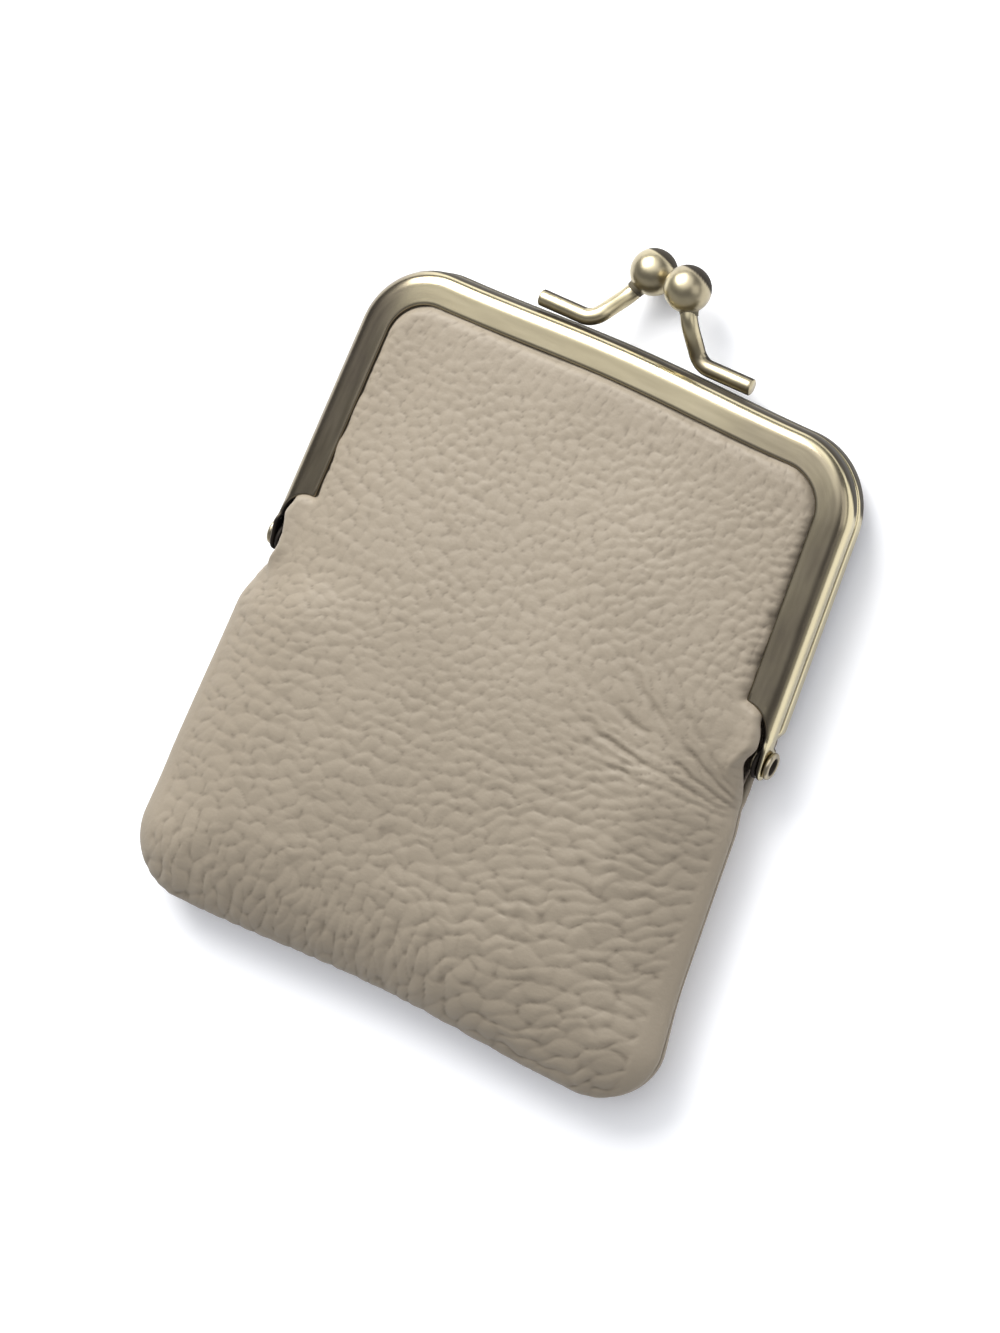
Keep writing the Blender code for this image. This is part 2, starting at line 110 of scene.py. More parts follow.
corner_x = side_line(RAIL_HEIGHT, 0) - CORNER * math.tan((math.pi / 2 - FLARE) / 2)
corner_y = RAIL_HEIGHT - CORNER
shoulder_depth = SHOULDER * (1 - math.sin(FACE_LEAN))


def rail_path(inset):
    """Points and outward normals along a rail, from the tip of the right ear round to the left one's.

    A quarter of a cosine up the ear, a line, a quarter of a sine past the hollowed end, a line, the
    corner's arc and half of the top, then the same mirrored.
    """
    tip = -(EAR - EDGE) * np.cos(np.linspace(0, math.pi / 2, 16))
    neck = np.linspace(0, RAIL_END, 14)[1:]
    hollow = RAIL_END + SCOOP * np.sin(np.linspace(0, math.pi / 2, 20))[1:]
    arc = np.linspace(FLARE, math.pi / 2, 32)
    side = np.linspace(hollow[-1], corner_y + (CORNER - inset) * math.sin(FLARE), 22)[1:-1]
    y = np.concatenate([tip, neck, hollow, side])
    straight = np.stack([side_line(np.maximum(y, RAIL_END), inset), y], 1)
    reach = CORNER - inset
    corner = np.stack([corner_x + reach * np.cos(arc), corner_y + reach * np.sin(arc)], 1)
    x = np.linspace(corner_x, 0, 26)[1:]
    right = np.concatenate([straight, corner, np.stack([x, top_line(x, inset)], 1)])
    path = both_sides(right)
    along = unit(np.gradient(path, axis=0))
    return path, np.stack([along[:, 1], -along[:, 0]], 1)


def channel_section(place, sheet):
    """Depth from the outer face, and height, of the channel's skin at the given places.

    Place 0 to 1 runs over the leaning face, 1 to 2 round the shoulder, 2 to 3 down the wall, 3 to 4 round
    the fold and 4 to 5 back along the flange. The skin lies at the sheet's distance inside the outer one,
    along its normals.
    """
    low = HALVES_GAP / 2
    high = low + CHANNEL_DEPTH
    share = np.linspace(0, 1, 12)[:-1]
    fall = (FACE_WIDTH - shoulder_depth) * math.tan(FACE_LEAN)
    lean = np.linspace(FACE_LEAN, math.pi / 2, 40)
    quarter = np.linspace(0, math.pi / 2, 24)
    depth = [FACE_WIDTH + (shoulder_depth - FACE_WIDTH) * share, SHOULDER * (1 - np.sin(lean))]
    depth += [FOLD - FOLD * np.cos(quarter), [FACE_WIDTH]]
    height = [high - fall * share, high - fall - SHOULDER * (math.cos(FACE_LEAN) - np.cos(lean))]
    height += [low + FOLD - FOLD * np.sin(quarter), [low]]
    places = [share, np.linspace(1, 2, 40), np.linspace(3, 4, 24), [5.0]]
    depth, height, places = (np.concatenate(part) for part in (depth, height, places))
    along = np.stack([np.gradient(depth, places), np.gradient(height, places)], 1)
    along[0] = (-1.0, 0.0)
    along[-1] = (1.0, 0.0)
    along = unit(along)
    depth = depth - sheet * along[:, 1]
    height = height + sheet * along[:, 0]
    return np.interp(place, places, depth), np.interp(place, places, height)


def ear_edges(y):
    """Lowest and highest height of an ear at y: a round lobe with straight sides up to the rail's end."""
    radius = EAR - EDGE
    edges = []
    for start, sign in ((HALVES_GAP / 2 + EDGE, -1), (HALVES_GAP / 2 + CHANNEL_DEPTH - 0.75, 1)):
        reach = math.hypot(RAIL_END, start)
        angle = math.atan2(start, RAIL_END) + sign * math.acos(radius / reach)
        touch_y, touch_z = radius * math.cos(angle), radius * math.sin(angle)
        line = touch_z + (y - touch_y) * (start - touch_z) / (RAIL_END - touch_y)
        lobe = sign * np.sqrt(np.clip(radius**2 - y**2, 0, None))
        edges.append(np.where(y < touch_y, lobe, line))
    return edges


def grid_faces(rows, columns, wrap=False, first=0):
    """Quads between neighbouring points of a rows by columns grid, joined round the columns if wrapped."""
    i = np.arange(rows - 1)[:, None]
    j = np.arange(columns if wrap else columns - 1)[None, :]
    k = (j + 1) % columns
    corners = [i * columns + j, i * columns + k, (i + 1) * columns + k, (i + 1) * columns + j]
    return first + np.stack(np.broadcast_arrays(*corners), -1).reshape(-1, 4)


def tube_faces(rows, columns):
    """Quads of a wrapped grid, and one face to close each of its two ends."""
    first = np.arange(columns)[None, :]
    return [grid_faces(rows, columns, wrap=True), first, (rows - 1) * columns + first]


def add_piece(name, points, faces, attributes, merge):
    """A smooth object from points in millimetres about the hinge, lists of faces and values for the points.

    Doubles closer than the merge distance are merged, and the faces turned outwards.
    """
    mesh = bpy.data.meshes.new(name)
    polygons = [face for group in faces for face in np.asarray(group).tolist()]
    mesh.from_pydata((points.reshape(-1, 3) * MM + hinge).tolist(), [], polygons)
    for key, values in attributes.items():
        layer = mesh.attributes.new(key, "FLOAT", "POINT")
        layer.data.foreach_set("value", np.asarray(values, np.float32).ravel())
    build = bmesh.new()
    build.from_mesh(mesh)
    bmesh.ops.remove_doubles(build, verts=build.verts, dist=merge * MM)
    bmesh.ops.recalc_face_normals(build, faces=build.faces)
    build.to_mesh(mesh)
    build.free()
    mesh.shade_smooth()
    piece = bpy.data.objects.new(name, mesh)
    bpy.context.scene.collection.objects.link(piece)
    return piece


def edge_rounding(outer, inner):
    """Points of the rounded edge between two skins: half circles about their middle line."""
    middle = (outer + inner) / 2
    across = (outer - inner) / 2
    out = unit(np.cross(np.gradient(middle, axis=0), across))
    out = out * np.linalg.norm(across, axis=1)[:, None]
    turn = np.linspace(0, math.pi, 8)[1:-1]
    return np.stack([middle + across * math.cos(a) + out * math.sin(a) for a in turn], 1)


# Brass facing this way reflects the dim studio past the clasp and lies in shade: it is painted black there.
FACING_DIM_REFLECTION = (0.225, 0.84, -0.49)


def painted_dark_reflection(facing):
    """Painted dark reflection and shade on brass: how black a surface is made where it faces past the clasp
    and down, standing for the dim studio it reflects and the shade it lies in. It is a step on the cosine to
    that direction."""
    return smooth((facing @ FACING_DIM_REFLECTION - 0.39) / 0.08)


def add_half_frame(name, jog, back):
    """One half: the channel's section carried along the rail, cut back in quarter circles at its ends and
    blended into flat ears, which stand inwards by the jog."""
    path, normal = rail_path(0.0)
    y = path[:, 1]
    past = np.clip(y - RAIL_END, 0, SCOOP)
    cut = RAIL_WIDTH - np.sqrt(SCOOP**2 - past**2)
    cut = np.clip(cut, EDGE, RAIL_WIDTH - EDGE)
    lean = np.arcsin(np.clip(1 - cut / SHOULDER, math.sin(FACE_LEAN), 1))
    flat = (FACE_WIDTH - cut) / (FACE_WIDTH - shoulder_depth)
    start = np.where(cut > shoulder_depth, flat, 1 + (lean - FACE_LEAN) / (math.pi / 2 - FACE_LEAN))
    fold = np.arcsin(np.clip(1 - cut / FOLD, 0, 1)) / (math.pi / 2)
    flange = (cut - FOLD) / (RAIL_WIDTH - EDGE - FOLD)
    end = np.where(cut > FOLD, 4 + flange, 4 - fold)
    spans = ((0.0, 0.1, 6), (0.1, 0.42, 26), (0.42, 0.62, 7), (0.62, 0.82, 12), (0.82, 1.0, 7))
    rows = np.concatenate([[0.0]] + [np.linspace(*span)[1:] for span in spans])
    place = start[:, None] + (end - start)[:, None] * rows
    low, high = ear_edges(y)
    flatten = smooth((RAIL_END - y) / (RAIL_END / 2))[:, None]
    shift = jog * smooth((RAIL_END + 1.8 - y) / 2.1)[:, None]
    closed = 0.13 * smooth((RAIL_END + 2.2 - y) / 1.2) + 0.32 * smooth((RAIL_END + 1.0 - y) / 1.2)
    closed = closed[:, None] * rows**4
    skins = []
    for sheet in (0.0, SHEET):
        depth, height = channel_section(place, sheet)
        plate = high[:, None] + (low - high)[:, None] * rows
        depth = depth + (sheet - depth) * flatten + shift
        height = height - closed + (plate - height + closed) * flatten
        flat_points = path[:, None, :] - normal[:, None, :] * depth[..., None]
        skins.append(np.concatenate([flat_points, height[..., None]], -1))
    outer, inner = skins
    low_edge = edge_rounding(outer[:, -1], inner[:, -1])
    high_edge = edge_rounding(inner[:, 0], outer[:, 0])
    upright = (1, 1, -1 if back else 1)
    loop = np.concatenate([outer, low_edge, inner[:, ::-1], high_edge], axis=1) * upright
    stations, count = loop.shape[:2]
    inset = np.linalg.norm(loop[..., :2] - path[:, None, :], axis=2)
    facing = np.cross(np.gradient(outer, axis=1), np.gradient(outer, axis=0))
    facing = unit(facing * np.sign(facing[stations // 2, 8, 2])) * upright
    # Painted shade and painted reflection: the channel's hidden inner skin is black as shade, its inner edge
    # a little dark as a painted shade line beside the leather, and its outer skin takes the painted dark
    # reflection.
    painted_shading = np.ones((stations, count))
    painted_shading[:, -2:] = 0.15
    painted_shading[:, : outer.shape[1]] = painted_dark_reflection(facing) * smooth((4.1 - np.abs(outer[..., 2])) / 0.5)
    # Patina and painted reflection: the side rails, and the faces inside the outer edge, are painted browner.
    # This is patina, and it also stands for the darker reflections these faces show.
    left = smooth((-loop[..., 0] - 30) / 8)
    right = smooth((loop[..., 0] - 33) / 5) * smooth((inset - 0.4) / 0.5)
    above = (0.55 + 0.3 * smooth((loop[..., 0] - 12) / 15)) * smooth((inset - 0.9) / 0.7)
    patina_and_painted_reflection = np.maximum(left + right, above)
    values = {"along": np.repeat(travelled_along(path), count), "inset": inset}
    values |= {"painted_shading": painted_shading, "patina_and_painted_reflection": patina_and_painted_reflection}
    return add_piece(name, loop, tube_faces(stations, count), values, 0.002)


class Value:
    """A shader socket on which arithmetic adds Math nodes to its finish."""

    def __init__(self, finish, socket):
        self.finish = finish
        self.socket = socket

    def __add__(self, other):
        return self.finish.math("ADD", self, other)

    def __sub__(self, other):
        return self.finish.math("SUBTRACT", self, other)

    def __rsub__(self, other):
        return self.finish.math("SUBTRACT", other, self)

    def __mul__(self, other):
        return self.finish.math("MULTIPLY", self, other)

    __radd__ = __add__
    __rmul__ = __mul__


class Finish:
    """One material: node() adds any node, and the rest are its commonest uses."""

    def __init__(self, name, **constants):
        self.material = bpy.data.materials.new(name)
        self.material.use_nodes = True
        self.tree = self.material.node_tree
        self.shader = self.tree.nodes["Principled BSDF"]
        for socket, value in constants.items():
            self.shader.inputs[socket.replace("_", " ")].default_value = value

    def node(self, kind, inputs, output=0, stops=None, **settings):
        """Adds a node, with its settings first, then the values or links of its sockets."""
        node = self.tree.nodes.new("ShaderNode" + kind)
        for setting, value in settings.items():
            setattr(node, setting, value)
        if stops:
            ramp = node.color_ramp.elements
            while len(ramp) < len(stops):
                ramp.new(1.0)
            for element, (position, colour) in zip(ramp, stops):
                element.position = position
                element.color = colour
        for socket, value in inputs.items():
            self.put(node.inputs[socket], value)
        return Value(self, node.outputs[output])

    def put(self, socket, value):
        """Links or sets one socket."""
        if isinstance(value, Value):
            self.tree.links.new(value.socket, socket)
        else:
            socket.default_value = value

    def math(self, operation, first, second):
        return self.node("Math", {0: first, 1: second}, operation=operation)

    def mix(self, share, first, second):
        """One colour going over into another."""
        return self.node("Mix", {0: share, 6: first, 7: second}, output=2, data_type="RGBA")

    def step(self, value, low, high):
        """0 below low, 1 above high, and smooth between."""
        inputs = {"Value": value, "From Min": low, "From Max": high}
        return self.node("MapRange", inputs, interpolation_type="SMOOTHSTEP")

    def attribute(self, name):
        return self.node("Attribute", {}, output=2, attribute_name=name)

    def place(self):
        """The point on the object, in metres."""
        return self.node("TexCoord", {}, output=3)

    def noise(self, where, scale, detail=2.0):
        return self.node("TexNoise", {"Vector": where, "Scale": scale, "Detail": detail})

    def bump(self, height, distance):
        """The surface's normal, roughened by a height in steps of the distance in metres."""
        return self.node("Bump", {"Height": height, "Distance": distance})

    def finish(self, **sockets):
        """Sets or links the shader's own sockets."""
        for socket, value in sockets.items():
            self.put(self.shader.inputs[socket.replace("_", " ")], value)


def antique_brass(name, clean, patina_and_painted_reflection, rail):
    """Antique brass under lacquer: faint streaks across the strip, brown patina in patches and down the
    frame's sides, where the brown is also a painted darker reflection, and painted black as shade and dark
    reflection where its attribute says so."""
    f = Finish(name, Metallic=1.0)
    where = f.place()
    patches = f.noise(where, 150.0, 3.0)
    if rail:
        strip = f.node("CombineXYZ", {0: f.attribute("along") * 0.12, 1: f.attribute("inset") * 0.9})
        streaks = f.noise(strip, 1.0, 3.0)
        brown = f.attribute("patina_and_painted_reflection") * (0.6 + patches * 0.6)
        rough = 0.15
    else:
        streaks = f.noise(where, 700.0, 3.0)
        brown = f.step(patches, 0.3, 0.7) * 0.6
        rough = 0.26
    shade = f.step(patches * 0.4 + streaks * 0.6, 0.2, 0.8)
    colour = f.mix(brown, f.mix(shade, clean[1], clean[0]), f.mix(shade, patina_and_painted_reflection[1], patina_and_painted_reflection[0]))
    # Painted shade and painted dark reflection: the brass is mixed towards black by this share.
    painted_black = f.attribute("painted_shading")
    colour = f.mix(painted_black * 0.93, colour, PAINTED_SHADE_AND_REFLECTION_BLACK)
    f.finish(Base_Color=colour, Roughness=rough + streaks * 0.08 + brown * 0.05 + painted_black * 0.45)
    return f.material


# The black of painted shade and painted dark reflection on the brass.
PAINTED_SHADE_AND_REFLECTION_BLACK = (0.035, 0.03, 0.028, 1)
CLEAN_BRASS = ((0.62, 0.55, 0.36, 1), (0.54, 0.47, 0.30, 1))
BROWN_BRASS = ((0.265, 0.225, 0.168, 1), (0.17, 0.142, 0.105, 1))
rail_brass = antique_brass("rail_brass", CLEAN_BRASS, BROWN_BRASS, True)
for name, jog, back in (("front_rail", 0.0, False), ("back_rail", SHEET + EAR_GAP, True)):
    rail = add_half_frame(name, jog, back)
    rail.data.materials.append(rail_brass)
    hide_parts(name.replace("rail", "frame"))
    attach(rail, name.replace("rail", "half"))

# A hollow rivet joins the two ears on each side. It is a brass tube with a head inside the purse, and its
# outer end is rolled over into a collar with an open bore.
BORE = 0.75
SHANK = 1.1
COLLAR = 2.1
COLLAR_HEIGHT = 0.9
HEAD = 1.7
HEAD_HEIGHT = 0.6
PLAY = 0.05


def add_turned(name, profile, side):
    """A closed profile of (x, radius) points turned about the hinge axis, on the right or the left, with
    painted shade making it black in and round its bore."""
    x, radius = np.array(profile).T
    turn = np.linspace(0, 2 * math.pi, 65)[:, None]
    x = np.broadcast_to(side * x, (65, len(x)))
    wrapped = np.stack([x, radius * np.cos(turn), radius * np.sin(turn)], -1)
    # Painted shade: black in and round the bore.
    painted_shading = np.broadcast_to(smooth((BORE + 0.75 - radius) / 0.25), x.shape)
    return add_piece(name, wrapped, [grid_faces(*x.shape, wrap=True)], {"painted_shading": painted_shading}, 0.001)


def arc(centre, radius, start, end, steps):
    """Points of an arc in the profile's plane, its angles from the first axis."""
    angle = np.linspace(start, end, steps)
    return list(zip(centre[0] + radius * np.cos(angle), centre[1] + radius * np.sin(angle)))


DULL_BRASS = ((0.56, 0.5, 0.36, 1), (0.46, 0.4, 0.27, 1))
rivet_brass = antique_brass("rivet_brass", DULL_BRASS, BROWN_BRASS, False)
outer = side_line(RAIL_END, 0) + PLAY
inner = outer - 2 * SHEET - EAR_GAP - 2 * PLAY
roll = COLLAR_HEIGHT / 2
rim = arc((outer + roll, COLLAR - roll), roll, -0.45 * math.pi, math.pi, 18)
head = arc((inner - 0.3, HEAD - 0.3), 0.3, math.pi / 2, math.pi, 6)
flare = [(outer - 0.25, BORE), (outer, BORE + 0.08), (outer + 0.25, BORE + 0.3)]
end = [(inner - HEAD_HEIGHT, BORE + 0.3), (inner - HEAD_HEIGHT + 0.25, BORE)]
profile = flare + rim + [(outer, SHANK), (inner, SHANK), (inner, HEAD)] + head + end
for name, side in (("right_hinge_rivet", 1), ("left_hinge_rivet", -1)):
    rivet = add_turned(name + "_shell", profile, side)
    rivet.data.materials.append(rivet_brass)
    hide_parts(name)
    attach(rivet, "back_half")

# Two bent wires are soldered to the top of the rails, and each carries a turned brass ball. The front half's
# wire stands on the left with its ball behind, the back half's on the right with its ball in front, so that
# the balls snap past each other and hold the mouth shut.
CLASP_SHIFT = 1.0
BALL = 3.5
BALL_X = 3.6
BALL_Y = 58.0
BALL_Z = 1.9
WIRE = 1.27
WIRE_START = 17.2
WIRE_BEND = 8.3
BEND_RADIUS = 3.0
SOLDER_GAP = 0.15
WIRE_BASE = RAIL_HEIGHT + TOP_RISE + SOLDER_GAP + WIRE
WIRE_Z = 1.3
CHAMFER = 0.15
CHAMFER_SHARE = 0.12
NECK_ANGLE = 0.42
NECK_LENGTH = 0.75
NECK_RADIUS = WIRE + 0.06


def wire_line():
    """The wire's middle line on the right: along the rail, round an arc, up to the ball."""
    corner = np.array([WIRE_BEND, WIRE_BASE])
    rise = np.array([BALL_X, BALL_Y]) - corner
    rise /= np.linalg.norm(rise)
    turn = math.acos(-rise[0])
    reach = BEND_RADIUS * math.tan(turn / 2)
    angle = -math.pi / 2 - np.linspace(0, turn, 20)
    bend = corner + [reach, BEND_RADIUS] + BEND_RADIUS * np.stack([np.cos(angle), np.sin(angle)], 1)
    flat = np.linspace([WIRE_START - CHAMFER, WIRE_BASE], bend[0], 24)[:-1]
    flat = np.concatenate([[[WIRE_START, WIRE_BASE]], flat])
    end = np.array([BALL_X, BALL_Y]) - rise * BALL * 0.9
    line = np.concatenate([flat, bend, np.linspace(bend[-1], end, 24)[1:]])
    crossed = smooth((line[:, 1] - WIRE_BASE) / (BALL_Y - BALL - WIRE_BASE))
    return np.column_stack([line, -WIRE_Z + (WIRE_Z + BALL_Z) * crossed])


def rings(along, sides):
    """Unit vectors in a circle round each direction, the first of them level with the floor."""
    across = unit(np.cross(along, (0.0, 0.0, 1.0)))
    upward = np.cross(across, along)
    angle = np.linspace(0, 2 * math.pi, sides + 1)[:-1, None]
    return across[..., None, :] * np.cos(angle) + upward[..., None, :] * np.sin(angle)


def sweep(name, line, radius):
    """A round bar along a line, with its radius given for each point, painted black on its side to the rail
    and where it faces the dim studio, as shade and dark reflection.
    """
    ring = rings(unit(np.gradient(line, axis=0)), 24)
    points = line[:, None] + ring * radius[:, None, None]
    # Painted shade and painted dark reflection: black on the side towards the rail and on faces that would
    # reflect the dim studio.
    painted_shading = np.maximum(0.8 * smooth((-ring @ (0.1, 0.8, 0.4) - 0.3) / 0.4), painted_dark_reflection(ring))
    painted_shading[0] = painted_shading[-1] = 0
    return add_piece(name, points, tube_faces(*painted_shading.shape), {"painted_shading": painted_shading}, 0.001)


def add_ball(name, centre, neck):
    """A ball turned about the line to its neck, where it flares onto the wire, with a painted dark reflection
    on its far side and painted shade on its neck.
    """
    polar = np.linspace(0, math.pi - NECK_ANGLE, 44)
    axial = BALL * np.cos(polar)
    radius = BALL * np.sin(polar)
    flare = np.linspace(0, 1, 8)[1:]
    axial = np.concatenate([axial, axial[-1] - NECK_LENGTH * flare])
    radius = np.concatenate([radius, NECK_RADIUS + (radius[-1] - NECK_RADIUS) * (1 - flare) ** 2])
    axis = unit(centre - neck)
    points = centre + axis * axial[:, None, None] + rings(axis, 64) * radius[:, None, None]
    grid, _, end = tube_faces(len(axial), 64)
    # Painted shade on the neck, and a painted dark reflection on the ball's far side.
    neck_shade = 0.8 * smooth((np.arange(len(axial)) - 40) / 6)[:, None]
    painted_shading = np.maximum(painted_dark_reflection((points - centre) / BALL), neck_shade)
    return add_piece(name, points, [grid, end], {"painted_shading": painted_shading}, 0.001)


clasp_brass = antique_brass("clasp_brass", CLEAN_BRASS, BROWN_BRASS, False)
for name, sign in (("front_clasp", -1), ("back_clasp", 1)):
    line = wire_line() * (sign, 1, sign) + (CLASP_SHIFT, 0, 0)
    ends = np.minimum(np.arange(len(line)), 1)
    wire = sweep(name + "_wire", line, WIRE * (1 - CHAMFER_SHARE * (1 - ends)))
    centre = np.array([CLASP_SHIFT + sign * BALL_X, BALL_Y, sign * BALL_Z])
    ball = add_ball(name + "_knob", centre, line[-8])
    for piece, node in ((wire, name + "_stem"), (ball, name + "_ball")):
        piece.data.materials.append(clasp_brass)
        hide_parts(node)
        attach(piece, "front_half" if sign < 0 else "back_half")

# The pouch is two panels of pebbled cowhide, jammed into the frame's channels above and sewn together round
# the sides and the bottom below, then turned. It puffs out of the frame, rolls over to a seam on its edge,
# hangs a little to the left and lies flat on its back.
INSET = 2.2
LEATHER = 0.9
SEAM_GAP = 0.12
DROP = 57.2
SWELL_TOP = 0.6
SWELL_BOTTOM = 3.9
POUCH_CORNER = 10.6
HOLLOW = 1.2
EAR_CLEARANCE = 2.8
SEAM_START = 9.0
HANG = 1.15
ROLL = 16.0
ROLL_NECK = 12.0
TILT = 0.022
BACK_SPREAD = 0.05
CROWNS = {True: (5.9, 8.7), False: (6.2, 7.6)}
FLAT = -6.4
SLOT_LEVEL = 3.35
EDGE_STEP = 1.6
BULGE = 26.0
HEM = 1.3
RIPPLE = 0.28
RIPPLE_LENGTH = 5.0
DRAWN_IN = 0.8
LEFT_TAB = 0.85
RIGHT_TAB = 1.0
TO_NECK = 0.55
PANEL_ROWS = (48, 144, 104, 24)
PANEL_COLUMNS = 280
COARSE = 4


def eased(share):
    """A step from 0 to 1 that starts steeply and ends level: 1 less the square of what is left."""
    return 1 - (1 - np.clip(share, 0, 1)) ** 2


def hill(place, middle, width):
    """A bell 1 high: e to the minus square of the distance from its middle over its width."""
    return np.exp(-(((place - middle) / width) ** 2))


def half_width(y):
    """Half the panel's width at y: beside the rails above the hinge, and swelling past the ears below it, as
    far as the bottom corners' arcs."""
    share = (-EAR_CLEARANCE - np.maximum(y, POUCH_CORNER - DROP)) / (DROP - EAR_CLEARANCE)
    wide = HALF_WIDTH + SWELL_TOP + (SWELL_BOTTOM - SWELL_TOP) * np.clip(share, 0, 1)
    neck = side_line(0.0, INSET)
    pouch = neck + (wide - neck) * smooth((-1 - y) / 11)
    return np.where(y > 0, side_line(y, INSET) + TO_NECK * hill(y, 4.2, 1.4), pouch)


def bottom_line(x):
    """Y of the pouch's bottom edge at x: a shallow raised cosine above a straight line."""
    wave = np.cos(np.pi * np.clip(x / bottom_x, -1, 1))
    return HOLLOW * (1 + wave) / 2 - DROP


bottom_x = float(half_width(np.array(POUCH_CORNER - DROP))) - POUCH_CORNER


def rolled(distance, y):
    """How high the panel stands, from 0 at the seam to 1, at a distance from it: a quarter of a superellipse,
    narrower at the neck and fuller at the bottom."""
    width = ROLL_NECK + (ROLL - ROLL_NECK) * smooth((-EAR_CLEARANCE - y) / 18)
    power = 1.45 + 0.4 * smooth((-38 - y) / 12)
    return (1 - (1 - np.clip(distance / width, 0, 1)) ** power) ** (1 / power)


def rounded(across, along, radius):
    """Distance from two edges that meet in a corner of the radius."""
    a = radius - across
    b = radius - along
    outside = np.hypot(np.maximum(a, 0), np.maximum(b, 0))
    return radius - outside + np.minimum(np.maximum(-a, 0), np.maximum(-b, 0))


def panel_plan(rows, columns):
    """X and Y of a panel's points: rows up the panel, round its bottom corners' arcs, along its sides and
    round the upper corners, and columns closer together towards its rolled sides."""
    corner = np.linspace(-math.pi / 2, 0, rows[0] + 1)
    y = [POUCH_CORNER * (1 + np.sin(corner)) - DROP]
    wide = [bottom_x + POUCH_CORNER * np.cos(corner)]
    lower = np.linspace(y[0][-1], 0, rows[1] + 1)[1:]
    upper_end = corner_y + (CORNER - INSET) * math.sin(FLARE)
    upper = np.linspace(0, upper_end, rows[2] + 1)[1:]
    turn = np.linspace(FLARE, math.pi / 2, rows[3] + 1)[1:]
    y = np.concatenate(y + [lower, upper, corner_y + (CORNER - INSET) * np.sin(turn)])
    wide = np.concatenate(
        wide + [half_width(lower), half_width(upper), corner_x + (CORNER - INSET) * np.cos(turn)]
    )
    inset = np.linspace(0, 1, 400) ** 3 * half_width(np.array(-20.0))
    roll = CROWNS[True][1] * rolled(inset, -20.0)
    length = travelled_along(np.stack([inset, roll], 1))
    half = np.interp(np.linspace(0, length[-1], columns // 2 + 1), length, inset)
    share = 1 - half / half[-1]
    share = np.concatenate([-share, share[-2::-1]])
    x = wide[:, None] * share
    y = np.broadcast_to(y[:, None], x.shape)
    low = (bottom_line(x) + DROP) * smooth((-DROP / 2 - y) / (DROP / 3))
    high = (top_line(x, 0) - RAIL_HEIGHT) * smooth((y - RAIL_HEIGHT / 2) / (RAIL_HEIGHT / 3))
    return x, y + low + high


def out_of_frame(x, y):
    """Distance from the rail's edge to a point of the panel: from the round inner corners above, and from the
    scooped ends, which are quarter circles about the rail's inner edge, near the ears."""
    inset = side_line(np.maximum(y, RAIL_END), 0.0) - np.abs(x)
    above = rounded(inset - RAIL_WIDTH, top_line(x, RAIL_WIDTH) - y, CORNER - RAIL_WIDTH)
    low = np.maximum(y - RAIL_END, 0)
    under = SCOOP - np.hypot(np.maximum(RAIL_WIDTH - inset, 0), low)
    beside = np.hypot(np.maximum(inset - RAIL_WIDTH, 0), np.maximum(RAIL_END + SCOOP - y, 0))
    scooped = np.where(inset < RAIL_WIDTH, under, np.maximum(beside, under))
    return np.where(y > RAIL_END + SCOOP, above, scooped)


def panel_height(x, y, front):
    """Height of a panel's outer face. Under the rails it lies in the slot, and it rises from their edges in a
    step and then a parabola to a broad crown. Its free edge beside the ears is a round hem. Below the hinge
    it rolls over a quarter of a superellipse to the seam."""
    crown_top, crown_low = CROWNS[front]
    across = half_width(y) - np.abs(x)
    from_top = top_line(x, INSET) - y
    from_bottom = y - bottom_line(x)
    crown = crown_top + (crown_low - crown_top) * smooth((corner_y - y) / (corner_y + SEAM_START))
    ripple = RIPPLE * waves(x, y, RIPPLE_LENGTH, 31) * smooth((y - 6) / 4) * smooth((28 - y) / 8)
    risen = np.maximum(out_of_frame(x, y) + ripple, 0)
    steep = EDGE_STEP + 0.2 * smooth((22 - y) / 16)
    quick = steep * (1 - np.exp(-risen / 0.4))
    broad = eased((across + INSET - RAIL_WIDTH) / BULGE) * eased((from_top + INSET - RAIL_WIDTH) / BULGE)
    upper = SLOT_LEVEL + quick + (crown - SLOT_LEVEL - steep) * broad
    free = smooth((RAIL_END + SCOOP + 0.4 - y) / 2.4)
    hem = np.sqrt(eased(np.minimum(risen, across + 0.1) / HEM))
    upper = upper * (1 - (0.35 + 0.45 * smooth((1 - y) / 6)) * free * (1 - hem))
    edge = rolled(rounded(across, from_bottom, POUCH_CORNER), y)
    spread = (0.8 + 0.2 * eased(across / 38)) * (0.7 + 0.3 * eased(from_bottom / 44))
    lower = SEAM_GAP + (crown - SEAM_GAP) * edge * spread
    return upper + (lower - upper) * smooth((-0.5 - y) / (SEAM_START - 0.5))


